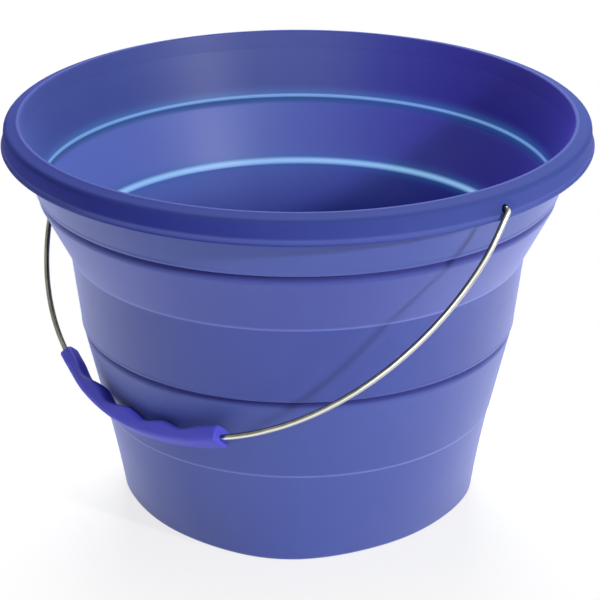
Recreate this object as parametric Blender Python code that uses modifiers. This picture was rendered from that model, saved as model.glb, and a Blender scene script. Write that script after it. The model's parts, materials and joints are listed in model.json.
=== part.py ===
# Collapsible camp bucket, about 10 litres, standing open on its foot.
# Frame: origin at the centre of the foot on the ground, +Z up, +X along the bail's pivot axis.
# At rest the bail hangs towards -Y with its grip leaning on the wall. Units are metres.

import math

import bmesh
import bpy
from mathutils import Vector

# Overall sizes
rim_radius = 0.155            # outermost edge of the rim's skirt
foot_radius = 0.0935          # outer radius of the foot, averaged round its rounded square
bucket_height = 0.214         # ground to the crest of the rim
foot_squareness_share = 0.019  # corners of the foot stand out, and its flats draw in, by this share

# Heights of the four fold lines, as shares of the bucket's height
collar_line_share = 0.832      # collar above, upper fold web below
upper_fold_line_share = 0.6635  # upper fold web above, middle band below
band_line_share = 0.472        # middle band above, lower fold web below
lower_fold_line_share = 0.249  # lower fold web above, base cup below

# Outer radii at the fold lines, as shares of the step from foot radius to rim radius
collar_radius_share = 0.728
upper_fold_radius_share = 0.447
band_radius_share = 0.371
lower_fold_radius_share = 0.186

# Walls, and the tongue and groove that ties a soft web to a stiff section
band_wall = 0.0030       # stiff sections
web_wall = 0.0020        # soft fold webs
tongue_wall = 0.0010
tongue_length = 0.0026
joint_gap = 0.0003       # clearance all round every seam
hinge_flange = 0.0012    # thickness of a web's upper hinge flange
hinge_setback = 0.0007   # flange edge behind the overhanging section
fold_ledge = 0.0024      # web starts this far inside the section above it
bead_height = 0.0016     # raised bead where a web meets the section below
bead_proud = 0.0005

# Rim: a down-turned skirt round an open cavity, on a leg that holds the collar
rim_width = 0.0104       # inner edge to outermost edge
rim_depth = 0.0140       # crest to lip
rim_crest_round = 0.0014
rim_shoulder_round = 0.0028
rim_top_wall = 0.0028
skirt_wall = 0.0020
skirt_flare = 0.0018     # lip stands out from the shoulder
lip_round = 0.0007
rim_seam_drop = 0.0095   # crest down to the seam between rim and collar

# Base cup
floor_wall = 0.0030
foot_recess = 0.0015     # underside raised inside the foot ring
foot_ring_width = 0.0090
foot_round = 0.0025      # fillet round the foot
floor_round = 0.0050     # fillet inside, wall to floor

# Bail of bent wire
wire_diameter = 0.0030
pivot_drop = 0.0085      # crest down to the pivot axis
bail_side_gap = 0.0054   # bow of the bail stands this far outside the rim
bail_leg = 0.0218        # run from the pivot to the start of the bow
bail_bow_share = 0.960   # depth of the bow as a share of its half width
bail_dip = 0.0013        # the wire bows this much further out inside the grip
bail_shoulder_gap = 0.0006  # wire clear of the pivot pad where it turns down
wire_bend = 0.0024       # centreline radius of the bends at the pivot
hook_rise = 0.0034       # hook inside the cavity, pivot axis to its tip

# Pivot hole in the skirt and the pad round it
hole_clearance = 0.0005
pad_half_width = 0.0075
pad_half_height = 0.0050
pad_proud = 0.0010
cut_overrun = 0.0020

# Grip: four finger scallops on the side that faces the pivot
grip_length = 0.137
grip_shift = 0.0010      # the grip sits this far towards +X from the middle of the bow
grip_skew = 0.0006       # and a little askew: its +X end stands out by this, its -X end draws in
grip_width = 0.0120
grip_outer = 0.0035      # wire centre to the smooth outer side
grip_valley = 0.0032     # wire centre to the bottom of a scallop
grip_ridge = 0.0061      # wire centre to the ridge between two scallops
grip_end_block = 0.0105  # plain block at each end, past the scallops
grip_end_round = 0.0030
grip_end_share = 0.80    # size of the end face beside the full section
grip_box_share = 0.85    # corner power of the section: 1 is an ellipse, less is boxier
finger_count = 4
grip_bore_gap = 0.0004
grip_rest_gap = 0.0012   # grip to wall when the bail hangs

# Facets
ring_steps = 56
cup_rows = 3
bail_arc_steps = 40
grip_sections = 28
grip_end_steps = 3
grip_sides = 14
bore_sides = 8

# Heights and radii worked out from the sizes above
collar_line = bucket_height * collar_line_share
upper_fold_line = bucket_height * upper_fold_line_share
band_line = bucket_height * band_line_share
lower_fold_line = bucket_height * lower_fold_line_share
radius_step = rim_radius - foot_radius
collar_radius = foot_radius + radius_step * collar_radius_share
upper_fold_radius = foot_radius + radius_step * upper_fold_radius_share
band_radius = foot_radius + radius_step * band_radius_share
lower_fold_radius = foot_radius + radius_step * lower_fold_radius_share
rim_inner_radius = rim_radius - rim_width
rim_edge_height = bucket_height - rim_crest_round
rim_seam = bucket_height - rim_seam_drop
lip_height = bucket_height - rim_depth
pivot_height = bucket_height - pivot_drop
groove_wall = tongue_wall + 2 * joint_gap
groove_depth = tongue_length + joint_gap
wire_radius = wire_diameter / 2
bow_half_width = rim_radius + bail_side_gap
bow_depth = bow_half_width * bail_bow_share
bail_reach = bail_leg + bow_depth + bail_dip
finger_pitch = (grip_length - 2 * grip_end_block) / finger_count


def collection(name):
    group = bpy.data.collections.new(name)
    bpy.context.scene.collection.children.link(group)
    return group


def material(name, colour, roughness, metallic=0.0):
    made = bpy.data.materials.new(name)
    made.use_nodes = True
    shader = made.node_tree.nodes["Principled BSDF"]
    shader.inputs["Base Color"].default_value = (*colour, 1.0)
    shader.inputs["Roughness"].default_value = roughness
    shader.inputs["Metallic"].default_value = metallic
    made.diffuse_color = (*colour, 1.0)
    return made


def arc(centre_r, centre_z, radius, start_deg, end_deg, steps):
    """Points of an arc in the profile plane, ends included."""
    points = []
    for step in range(steps + 1):
        turn = math.radians(start_deg + (end_deg - start_deg) * step / steps)
        points.append((centre_r + radius * math.cos(turn), centre_z + radius * math.sin(turn)))
    return points


def turned(name, profile, group, finish, closed=True):
    """A ring or cup: a profile turned about Z. It runs down the outer side, then up the inner one."""
    mesh = bpy.data.meshes.new(name)
    edges = [(i, i + 1) for i in range(len(profile) - 1)]
    if closed:
        edges.append((len(profile) - 1, 0))
    mesh.from_pydata([(r, 0.0, z) for r, z in profile], edges, [])
    piece = bpy.data.objects.new(name, mesh)
    group.objects.link(piece)
    screw = piece.modifiers.new("turn", "SCREW")
    screw.axis = "Z"
    screw.angle = math.radians(360)
    screw.steps = ring_steps
    screw.render_steps = ring_steps
    screw.use_merge_vertices = True
    screw.merge_threshold = 0.00001
    screw.use_smooth_shade = False
    mesh.materials.append(finish)
    return piece


def evaluated_mesh(piece):
    graph = bpy.context.evaluated_depsgraph_get()
    graph.update()
    return bpy.data.meshes.new_from_object(piece.evaluated_get(graph))


def bake(piece):
    """Replace a piece's modifiers by the mesh that they give."""
    made = evaluated_mesh(piece)
    old = piece.data
    piece.modifiers.clear()
    piece.data = made
    bpy.data.meshes.remove(old)


def smooth(piece, sharp_deg=35):
    piece.data.shade_smooth()
    piece.data.set_sharp_from_angle(angle=math.radians(sharp_deg))


def as_cutter(piece):
    piece.hide_render = True
    piece.display_type = "WIRE"


def add_boolean(piece, tool, operation):
    step = piece.modifiers.new(tool.name, "BOOLEAN")
    step.operation = operation
    step.solver = "EXACT"
    step.object = tool


def collar_inner(height):
    """Inner face of collar and rim leg: one straight taper from the collar line to the rim's edge."""
    low = collar_radius - band_wall
    share = (height - collar_line) / (rim_edge_height - collar_line)
    return low + (rim_inner_radius - low) * share


def collar_outer(height):
    return collar_inner(height) + band_wall


def groove_up(centre, face):
    """Groove in a section's lower face, walked from the outer wall to the inner one."""
    half = groove_wall / 2
    roof = face + groove_depth
    return [(centre + half, face), (centre + half, roof), (centre - half, roof), (centre - half, face)]


def groove_down(centre, face):
    """Groove in a section's upper face, walked from the inner wall to the outer one."""
    half = groove_wall / 2
    bed = face - groove_depth
    return [(centre - half, face), (centre - half, bed), (centre + half, bed), (centre + half, face)]


def make_rim(group, tools, finish):
    shoulder = rim_radius - skirt_flare
    crest_end = shoulder - rim_shoulder_round
    shoulder_arc = arc(crest_end, bucket_height - rim_shoulder_round, rim_shoulder_round, 90, 0, 4)
    lip_centre = lip_height + lip_round
    lip_arc = arc(rim_radius - lip_round, lip_centre, lip_round, 0, -90, 2)
    skirt_inside = rim_radius - skirt_wall
    cavity_top = bucket_height - rim_top_wall
    cavity_round = skirt_wall / 2
    inner_shoulder = shoulder - skirt_wall
    leg_centre = collar_inner(rim_seam) + band_wall / 2
    crest_arc = arc(rim_inner_radius + rim_crest_round, rim_edge_height, rim_crest_round, 180, 90, 3)
    profile = crest_arc + shoulder_arc + lip_arc
    profile += [
        (skirt_inside + lip_round / 2, lip_height),
        (skirt_inside, lip_centre),
        (inner_shoulder, cavity_top - cavity_round),
        (inner_shoulder - cavity_round, cavity_top),
        (collar_outer(cavity_top) + cavity_round, cavity_top),
        (collar_outer(cavity_top - cavity_round), cavity_top - cavity_round),
        (collar_outer(rim_seam), rim_seam),
    ]
    profile += groove_up(leg_centre, rim_seam)
    profile.append((collar_inner(rim_seam), rim_seam))
    rim = turned("rim_ring", profile, group, finish)

    cut_start = rim_radius - skirt_flare - skirt_wall - pad_proud
    for side, label in ((1, "right"), (-1, "left")):
        pad_depth = skirt_wall + pad_proud
        bpy.ops.mesh.primitive_cylinder_add(vertices=32, radius=pad_half_width, depth=pad_depth)
        pad = bpy.context.object
        pad.name = "pivot_pad_" + label
        pad.scale = (pad_half_height / pad_half_width, 1.0, 1.0)
        pad.rotation_euler = (0.0, math.radians(90), 0.0)
        outer_face = rim_radius + pad_proud / 2
        pad.location = (side * (outer_face - pad_depth / 2), 0.0, pivot_height)

        run = rim_radius + pad_proud + cut_overrun - cut_start
        hole_radius = wire_radius + hole_clearance
        bpy.ops.mesh.primitive_cylinder_add(vertices=24, radius=hole_radius, depth=run)
        hole = bpy.context.object
        hole.name = "pivot_hole_" + label
        hole.rotation_euler = (0.0, math.radians(90), 0.0)
        hole.location = (side * (cut_start + run / 2), 0.0, pivot_height)

        for tool, operation in ((pad, "UNION"), (hole, "DIFFERENCE")):
            for held_by in list(tool.users_collection):
                held_by.objects.unlink(tool)
            tools.objects.link(tool)
            as_cutter(tool)
            add_boolean(rim, tool, operation)
    return rim


def make_collar(group, finish):
    top = rim_seam - joint_gap
    centre = collar_inner(rim_seam) + band_wall / 2
    half = tongue_wall / 2
    foot_centre = collar_radius - band_wall / 2
    profile = [
        (centre + half, rim_seam + tongue_length),
        (centre + half, top),
        (collar_outer(top), top),
        (collar_radius, collar_line + bead_proud),
        (collar_radius - bead_proud, collar_line),
    ]
    profile += groove_up(foot_centre, collar_line)
    profile += [
        (collar_radius - band_wall, collar_line),
        (collar_inner(top), top),
        (centre - half, top),
        (centre - half, rim_seam + tongue_length),
    ]
    return turned("collar_band", profile, group, finish)


def make_web(name, upper_radius, upper_line, lower_radius, lower_line, group, finish):
    """Soft fold web: hinge flange and tongue on top, taper, bead and tongue below."""
    half = tongue_wall / 2
    top_centre = upper_radius - band_wall / 2
    top_face = upper_line - joint_gap
    flange_edge = upper_radius - hinge_setback
    flange_base = top_face - hinge_flange
    web_top = upper_radius - fold_ledge
    low_centre = lower_radius - band_wall / 2
    low_face = lower_line + joint_gap
    web_low = lower_radius - bead_proud
    bead_top = low_face + bead_height
    profile = [
        (top_centre + half, upper_line + tongue_length),
        (top_centre + half, top_face),
        (flange_edge, top_face),
        (flange_edge, flange_base),
        (web_top, flange_base),
        (web_low, bead_top),
        (lower_radius + bead_proud, low_face + bead_height / 2),
        (lower_radius, low_face),
        (low_centre + half, low_face),
        (low_centre + half, lower_line - tongue_length),
        (low_centre - half, lower_line - tongue_length),
        (low_centre - half, low_face),
        (lower_radius - band_wall, low_face),
        (web_low - web_wall, bead_top),
        (web_top - web_wall, top_face),
        (top_centre - half, top_face),
        (top_centre - half, upper_line + tongue_length),
    ]
    return turned(name, profile, group, finish)


def make_middle_band(group, finish):
    top_centre = upper_fold_radius - band_wall / 2
    low_centre = band_radius - band_wall / 2
    profile = [
        (upper_fold_radius, upper_fold_line),
        (band_radius, band_line + bead_proud),
        (band_radius - bead_proud, band_line),
    ]
    profile += groove_up(low_centre, band_line)
    profile += [
        (band_radius - band_wall, band_line),
        (upper_fold_radius - band_wall, upper_fold_line),
    ]
    profile += groove_down(top_centre, upper_fold_line)
    return turned("middle_band", profile, group, finish)


def cup_outer(height):
    """Outer face of the base cup: a straight taper from the lower fold line to the foot."""
    return foot_radius + (lower_fold_radius - foot_radius) * height / lower_fold_line


def square_off(cup):
    """Draw the cup from round at the lower fold line to a rounded square, flats facing X and Y, at the foot."""
    for vertex in cup.data.vertices:
        x, y, z = vertex.co
        drop = max((lower_fold_line - z) / lower_fold_line, 0.0)
        turn = math.atan2(y, x)
        stretch = 1.0 - foot_squareness_share * drop * drop * math.cos(4.0 * turn)
        vertex.co.x = x * stretch
        vertex.co.y = y * stretch


def make_base_cup(group, finish):
    floor_top = foot_recess + floor_wall
    top_centre = lower_fold_radius - band_wall / 2
    ring_inner = cup_outer(0.0) - foot_round - foot_ring_width
    fillet_top = floor_top + floor_round
    inner_foot = cup_outer(fillet_top) - band_wall
    fillet = arc(inner_foot - floor_round, fillet_top, floor_round, -90, 0, 4)
    outer_wall = []
    inner_wall = []
    for row in range(cup_rows):
        rise = row / cup_rows
        height = lower_fold_line - (lower_fold_line - foot_round) * rise
        outer_wall.append((cup_outer(height), height))
        height = lower_fold_line - (lower_fold_line - fillet_top) * rise
        inner_wall.append((cup_outer(height) - band_wall, height))
    profile = outer_wall + arc(cup_outer(foot_round) - foot_round, foot_round, foot_round, 0, -90, 4)
    profile += [
        (ring_inner, 0.0),
        (ring_inner - foot_recess, foot_recess),
        (0.0, foot_recess),
        (0.0, floor_top),
    ]
    profile += fillet + inner_wall[::-1]
    profile += groove_down(top_centre, lower_fold_line)
    return turned("base_cup", profile, group, finish)


def wall_face(height):
    """Outer radius of the lower fold web, which the grip leans on."""
    share = (height - lower_fold_line) / (band_line - lower_fold_line)
    return lower_fold_radius + (band_radius - fold_ledge - lower_fold_radius) * share


def finger_side(place):
    """Wire centre to the finger side of the grip, at a distance from its middle."""
    if abs(place) > finger_pitch * finger_count / 2:
        return grip_ridge
    wave = 0.5 + 0.5 * math.cos(2.0 * math.pi * place / finger_pitch)
    return grip_valley + (grip_ridge - grip_valley) * wave


def hang_angle():
    """Lean of the hanging bail from straight down, where the grip's middle ridge just clears the wall."""
    taper = math.atan2(wall_face(band_line) - wall_face(lower_fold_line), band_line - lower_fold_line)
    power = 2.0 / (2.0 - grip_box_share)
    low = 0.0
    high = math.radians(80)
    for _ in range(60):
        lean = (low + high) / 2
        out = bail_reach * math.sin(lean)
        height = pivot_height - bail_reach * math.cos(lean)
        along = grip_ridge * math.sin(lean + taper)
        across = grip_width / 2 * math.cos(lean + taper)
        section = (along ** power + across ** power) ** (1.0 / power)
        clear = (out - wall_face(height)) * math.cos(taper) - section - grip_rest_gap
        if clear > 0.0:
            high = lean
        else:
            low = lean
    return high


def bow_frame(turn):
    """Point of the bow's centreline and the outward direction there, by the angle from its lowest point."""
    spot = Vector((bow_half_width * math.sin(turn), 0.0, -bail_leg - bow_depth * math.cos(turn)))
    out = Vector((bow_depth * math.sin(turn), 0.0, -bow_half_width * math.cos(turn))).normalized()
    along = (bow_half_width * turn - grip_shift) / (grip_length / 2)
    if abs(along) < 1.0:
        spot += out * bail_dip * math.cos(math.pi / 2 * along) ** 2
    return spot, out


def bail_route():
    """Centreline of the wire in the bail's own plane: X across, -Z from the pivot to the grip."""
    cavity_in = collar_outer(pivot_height)
    skirt_in = rim_radius - skirt_wall - skirt_flare / 2
    hook_radius = (cavity_in + skirt_in) / 2
    shoulder_radius = rim_radius + pad_proud / 2 + bail_shoulder_gap + wire_radius
    bend = min(wire_bend, hook_rise, (shoulder_radius - hook_radius) / 2)
    half = [(hook_radius, hook_rise)]
    half += arc(hook_radius + bend, bend, bend, 180, 270, 4)
    half += arc(shoulder_radius - bend, -bend, bend, 90, 0, 4)
    for step in range(bail_arc_steps // 2 + 1):
        spot, _ = bow_frame(math.pi / 2 * (1.0 - 2.0 * step / bail_arc_steps))
        half.append((spot.x, spot.z))
    other = [(-x, z) for x, z in reversed(half[:-1])]
    return half + other


def make_wire(group, pivot, finish):
    route = bail_route()
    curve = bpy.data.curves.new("bail_wire", "CURVE")
    curve.dimensions = "3D"
    curve.bevel_depth = wire_radius
    curve.bevel_resolution = 2
    curve.use_fill_caps = True
    spline = curve.splines.new("POLY")
    spline.points.add(len(route) - 1)
    for point, (x, z) in zip(spline.points, route):
        point.co = (x, 0.0, z, 1.0)
    wire = bpy.data.objects.new("bail_wire", curve)
    group.objects.link(wire)
    wire.parent = pivot
    curve.materials.append(finish)
    return wire


def loft_rings(name, outer_rings, inner_rings, group, finish):
    """A tube with thickness: rings along the outside, rings along the bore, closed at both ends."""
    shape = bmesh.new()
    outer = [[shape.verts.new(p) for p in ring] for ring in outer_rings]
    inner = [[shape.verts.new(p) for p in ring] for ring in inner_rings]
    for rings, inward in ((outer, False), (inner, True)):
        count = len(rings[0])
        for first, second in zip(rings[:-1], rings[1:]):
            for i in range(count):
                j = (i + 1) % count
                corners = [first[i], first[j], second[j], second[i]]
                shape.faces.new(corners[::-1] if inward else corners)
    for index in (0, -1):
        loops = []
        for ring in (outer[index], inner[index]):
            loops += [shape.edges.get((ring[i], ring[(i + 1) % len(ring)])) for i in range(len(ring))]
        bmesh.ops.bridge_loops(shape, edges=loops)
    bmesh.ops.recalc_face_normals(shape, faces=shape.faces)
    mesh = bpy.data.meshes.new(name)
    shape.to_mesh(mesh)
    shape.free()
    piece = bpy.data.objects.new(name, mesh)
    group.objects.link(piece)
    mesh.materials.append(finish)
    return piece


def grip_places():
    """Distances of the grip's sections from its middle, each with the size of the section there."""
    half = grip_length / 2
    end = []
    for step in range(grip_end_steps):
        turn = math.pi / 2 * step / grip_end_steps
        size = grip_end_share + (1.0 - grip_end_share) * math.sin(turn)
        end.append((-half + grip_end_round * (1.0 - math.cos(turn)), size))
    body = []
    for section in range(grip_sections + 1):
        body.append(((half - grip_end_round) * (2.0 * section / grip_sections - 1.0), 1.0))
    return end + body + [(-place, size) for place, size in reversed(end)]


def make_grip(group, pivot, finish):
    bore = wire_radius + grip_bore_gap
    outer_rings = []
    inner_rings = []
    for place, size in grip_places():
        spot, out = bow_frame((place + grip_shift) / bow_half_width)
        skew = grip_skew * place / (grip_length / 2)
        ring = []
        for side in range(grip_sides):
            angle = 2.0 * math.pi * side / grip_sides
            across = math.sin(angle)
            depth = math.cos(angle)
            reach = grip_outer + skew if depth > 0.0 else finger_side(place) - skew
            high = math.copysign(abs(depth) ** grip_box_share, depth) * reach * size
            wide = math.copysign(abs(across) ** grip_box_share, across) * grip_width / 2 * size
            ring.append(spot + out * high + Vector((0.0, wide, 0.0)))
        outer_rings.append(ring)
        hole = []
        for side in range(bore_sides):
            angle = 2.0 * math.pi * side / bore_sides
            hole.append(spot + out * (bore * math.cos(angle)) + Vector((0.0, bore * math.sin(angle), 0.0)))
        inner_rings.append(hole)
    grip = loft_rings("handle_grip", outer_rings, inner_rings, group, finish)
    grip.parent = pivot
    smooth(grip, 50)
    return grip


def main():
    for old in list(bpy.data.objects):
        bpy.data.objects.remove(old, do_unlink=True)
    group = collection("collapsible_bucket")
    tools = collection("cutters")

    stiff = material("stiff_blue", (0.075, 0.085, 0.36), 0.42)
    rim_finish = material("rim_blue", (0.060, 0.066, 0.32), 0.40)
    soft = material("soft_blue", (0.085, 0.100, 0.40), 0.50)
    steel = material("bright_steel", (0.68, 0.69, 0.70), 0.22, 1.0)
    dark = material("grip_navy", (0.030, 0.032, 0.20), 0.45)

    rim = make_rim(group, tools, rim_finish)
    collar = make_collar(group, stiff)
    upper_web = make_web(
        "upper_fold_web", collar_radius, collar_line, upper_fold_radius, upper_fold_line, group, soft)
    band = make_middle_band(group, stiff)
    lower_web = make_web(
        "lower_fold_web", band_radius, band_line, lower_fold_radius, lower_fold_line, group, soft)
    cup = make_base_cup(group, stiff)
    for piece in (rim, collar, upper_web, band, lower_web, cup):
        bake(piece)
    square_off(cup)
    for piece in (rim, collar, upper_web, band, lower_web, cup):
        smooth(piece)

    lean = hang_angle()
    pivot = bpy.data.objects.new("bail_pivot", None)
    group.objects.link(pivot)
    pivot.location = (0.0, 0.0, pivot_height)
    pivot.rotation_euler = (-lean, 0.0, 0.0)
    make_wire(group, pivot, steel)
    make_grip(group, pivot, dark)

    print("bail hangs at", round(math.degrees(lean), 2), "degrees from straight down")
    print("upper fold travel", round(2 * (collar_line - upper_fold_line), 5), "m")
    print("lower fold travel", round(2 * (band_line - lower_fold_line), 5), "m")


main()
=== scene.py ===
import json
import math

import bpy
import numpy as np
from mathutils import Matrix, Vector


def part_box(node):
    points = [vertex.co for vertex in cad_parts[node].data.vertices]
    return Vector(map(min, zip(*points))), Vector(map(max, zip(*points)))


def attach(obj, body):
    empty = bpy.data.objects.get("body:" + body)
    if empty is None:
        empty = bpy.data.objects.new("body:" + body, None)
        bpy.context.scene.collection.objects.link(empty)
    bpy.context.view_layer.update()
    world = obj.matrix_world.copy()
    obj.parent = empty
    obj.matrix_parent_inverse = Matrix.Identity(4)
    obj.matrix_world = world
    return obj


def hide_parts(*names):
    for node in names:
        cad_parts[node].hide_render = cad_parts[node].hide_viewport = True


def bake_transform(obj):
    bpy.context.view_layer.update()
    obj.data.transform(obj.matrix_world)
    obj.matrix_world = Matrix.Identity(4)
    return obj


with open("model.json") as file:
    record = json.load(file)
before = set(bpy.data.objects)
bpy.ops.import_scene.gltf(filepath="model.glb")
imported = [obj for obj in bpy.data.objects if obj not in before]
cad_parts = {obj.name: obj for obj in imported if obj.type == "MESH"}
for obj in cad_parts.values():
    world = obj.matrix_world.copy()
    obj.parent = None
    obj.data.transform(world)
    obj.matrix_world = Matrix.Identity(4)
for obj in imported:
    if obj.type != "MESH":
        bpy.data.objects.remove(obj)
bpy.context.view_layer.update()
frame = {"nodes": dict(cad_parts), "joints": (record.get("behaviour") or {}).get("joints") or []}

# Looks of a collapsible camp bucket: a fine surface over each CAD node, in metres, in the CAD's own frame.
print("frame loaded:", len(frame["nodes"]), "nodes")


# The frame's own sizes

rimLow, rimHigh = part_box("rim_ring")
bandLow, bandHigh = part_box("middle_band")
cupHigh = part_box("base_cup")[1]
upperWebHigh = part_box("upper_fold_web")[1]
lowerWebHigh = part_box("lower_fold_web")[1]
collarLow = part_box("collar_band")[0]
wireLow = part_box("bail_wire")[0]
pivotHeight = next(j["pos_m"][2] for j in frame["joints"] if j["name"] == "bail_swing")

wall = {
    "stiff": 0.0030,            # thickness of rim leg, collar, band and cup
    "hingeSetback": 0.0007,     # a web's flange sits this far behind the section above it
    "seam": 0.00003,            # what shows of the seam between two moulded-together pieces
    "edgeRound": 0.00045,       # the round of small corners
    "neck": 0.0018,             # the collar's outer face draws in by this under the lip
    "innerSkin": 0.0006,        # the rim's inner finish covers faces this close to its inner wall
    "columns": 384,             # steps round each ring
}

rimRadius = rimHigh.y
bucketHeight = rimHigh.z
lipHeight = rimLow.z
collarLine = collarLow.z
upperFoldLine = bandHigh.z
bandLine = bandLow.z
lowerFoldLine = cupHigh.z
collarRadius = upperWebHigh.x + wall["hingeSetback"]
upperFoldRadius = bandHigh.x
bandRadius = lowerWebHigh.x + wall["hingeSetback"]
lowerFoldRadius = cupHigh.x


# Surfaces worked out as whole arrays

sharpDeg = 38               # edges that turn by more than this stay crisp
arcStepDeg = 14.0           # a rounded corner has one facet per this turn
cornerShare = 0.46          # and takes at most this share of each of its sides


def linked(made):
    bpy.context.scene.collection.objects.link(made)
    return made


def smoothBetweenEdges(mesh):
    mesh.shade_smooth()
    mesh.set_sharp_from_angle(angle=math.radians(sharpDeg))


def gridMesh(name, grid, closedRows=False):
    # a grid of points, rows by columns by 3, joined by quads; a row of equal points is a pole and becomes a fan
    rows, columns = grid.shape[:2]
    index = np.arange(rows * columns).reshape(rows, columns)
    for row in (0, -1):
        if np.ptp(grid[row], axis=0).max() < 1e-9:
            index[row] = index[row, 0]
    rowStep = np.arange(rows if closedRows else rows - 1)
    a, d = index[rowStep], index[(rowStep + 1) % rows]
    b, c = np.roll(a, -1, axis=1), np.roll(d, -1, axis=1)
    quads = np.stack([a, b, c, d], -1).reshape(-1, 4)
    points = grid.reshape(-1, 3)
    p = points[quads]
    flux = np.einsum("ij,ij->i", p[:, 0], np.cross(p[:, 1], p[:, 2]) + np.cross(p[:, 2], p[:, 3]))
    if flux.sum() < 0:      # the enclosed volume is negative, so the faces are turned to point out
        quads = quads[:, ::-1]
    used = np.unique(quads)
    renumber = np.zeros(len(points), int)
    renumber[used] = np.arange(len(used))
    quads = renumber[quads]
    fanOne, fanTwo = quads[:, 0] == quads[:, 1], quads[:, 2] == quads[:, 3]
    faces = quads[~(fanOne | fanTwo)].tolist() + quads[fanOne][:, 1:].tolist() + quads[fanTwo][:, :3].tolist()
    mesh = bpy.data.meshes.new(name)
    mesh.from_pydata(points[used].tolist(), [], faces)
    mesh.update()
    smoothBetweenEdges(mesh)
    return linked(bpy.data.objects.new(name, mesh))


def gridPiece(name, grid, body, replaced, closedRows=False):
    piece = gridMesh(name, grid, closedRows)
    if body:
        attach(piece, body)
    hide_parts(replaced)
    return piece


def spaced(start, end, step):
    # points between two ends, closer together near the ends so that rounded edges stay crisp
    span = np.linalg.norm(end - start)
    count = max(2, int(math.ceil(span / step)) + 2)
    share = 0.5 - 0.5 * np.cos(np.linspace(0.0, math.pi, count + 1)[1:-1])
    return start + (end - start) * share[:, None]


def roundedLoop(corners, step=0.0014, closed=True):
    # corners are (radius, height, round); each becomes an arc tangent to both of its sides, or stays a point
    spots = np.array([c[:2] for c in corners], float)
    rounds = [c[2] for c in corners]
    count = len(corners)
    pieces = []
    for i in range(count):
        here = spots[i]
        if rounds[i] <= wall["seam"] or (not closed and i in (0, count - 1)):
            pieces.append(here[None, :])
            continue
        before = spots[i - 1] - here
        after = spots[(i + 1) % count] - here
        longBefore, longAfter = np.linalg.norm(before), np.linalg.norm(after)
        before, after = before / longBefore, after / longAfter
        inside = math.acos(float(np.clip(before @ after, -1.0, 1.0)))
        reach = min(rounds[i] / math.tan(inside / 2), cornerShare * longBefore, cornerShare * longAfter)
        radius = reach * math.tan(inside / 2)
        turn = math.pi - inside
        steps = max(2, int(math.ceil(math.degrees(turn) / arcStepDeg)))
        middle = here + (before + after) / np.linalg.norm(before + after) * radius / math.sin(inside / 2)
        first, last = here + before * reach, here + after * reach
        share = np.linspace(0.0, 1.0, steps + 1)[:, None]
        swing = np.sin((1.0 - share) * turn) * (first - middle) + np.sin(share * turn) * (last - middle)
        pieces.append(middle + swing / math.sin(turn))
    joined = []
    for i in range(count if closed else count - 1):
        joined.append(pieces[i])
        joined.append(spaced(pieces[i][-1], pieces[(i + 1) % count][0], step))
    if not closed:
        joined.append(pieces[-1])
    return np.concatenate(joined)


def turnedGrid(profile, angles):
    # surface of revolution: (r cos a, r sin a, z) for each profile point and each angle
    r, z = profile[:, 0][:, None], profile[:, 1][:, None]
    return np.stack([r * np.cos(angles), r * np.sin(angles), z + 0.0 * angles], -1)


def smoothStep(value, low, high):
    # 0 below low, 1 above high, 3 t^2 - 2 t^3 between
    t = np.clip((value - low) / (high - low), 0.0, 1.0)
    return t * t * (3.0 - 2.0 * t)


def ringAngles(coarse, fineZones=()):
    # even angles round the ring; in zones (centre, half width, count), and across from them, finer ones instead
    angles = np.linspace(0.0, 2.0 * math.pi, coarse, endpoint=False)
    for centreDeg, halfDeg, count in fineZones:
        centre, half = math.radians(centreDeg), math.radians(halfDeg)
        near = np.abs(np.sin(angles - centre)) < math.sin(half + 0.3 * math.pi / coarse)
        fine = centre + np.linspace(-half, half, count)
        angles = np.concatenate([angles[~near], fine, fine + math.pi])
    return np.sort(angles % (2.0 * math.pi))


# Rim, collar, bands and cup

# the rim's section: crest, then down over the top and the skirt to the lip, and back up inside the cavity
rimShape = {
    "width": 0.0104, "innerRound": 0.00078, "crestRound": 0.0013, "crestFlat": 0.00182,
    "crestFall": 0.00312, "crestDrop": 0.000484, "shoulderRound": 0.0032, "topSlope": 0.0022,
    "topWall": 0.0030, "cavitySlope": 0.00176, "cavityRound": 0.0010, "seamDrop": 0.0095,
    "skirtWall": 0.0020, "skirtFlare": 0.0018,
    "innerTop": 0.00104,        # the inner finish ends this far above the foot of the crest's round
    "lipBead": 0.0011, "lipBeadHeight": 0.0026, "lipRound": 0.0008, "beadRound": 0.00056,
    "profileStep": 0.0009,
}
# the raised pads round the two pivots, and the holes through them
padShape = {
    "halfWidth": 0.0072, "halfHeight": 0.0055, "lowerShare": 1.35, "proud": 0.00045,
    "fadeStart": 1.30, "fadeEnd": 0.45, "skinStart": 0.0002, "skinEnd": 0.0012,
    "holeRadius": 0.0020, "holeInside": 0.0050, "holeOutside": 0.0040, "zoneDeg": 4.6, "zoneColumns": 41,
}
# the short groove on the crest, where the mould parts
tickShape = {
    "turnDeg": 56.2, "width": 0.0007, "depth": 0.00035, "start": 0.00468, "full": 0.00624,
    "fadeLow": 0.0042, "fadeHigh": 0.0030, "zoneDeg": 0.6, "zoneColumns": 17,
}
rimInner = rimRadius - rimShape["width"]
edgeHeight = bucketHeight - rimShape["crestRound"]
rimSeam = bucketHeight - rimShape["seamDrop"]


def collarInner(height):
    # one straight taper from the collar line up to the rim's inner edge
    low = collarRadius - wall["stiff"]
    return low + (rimInner - low) * (height - collarLine) / (edgeHeight - collarLine)


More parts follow.
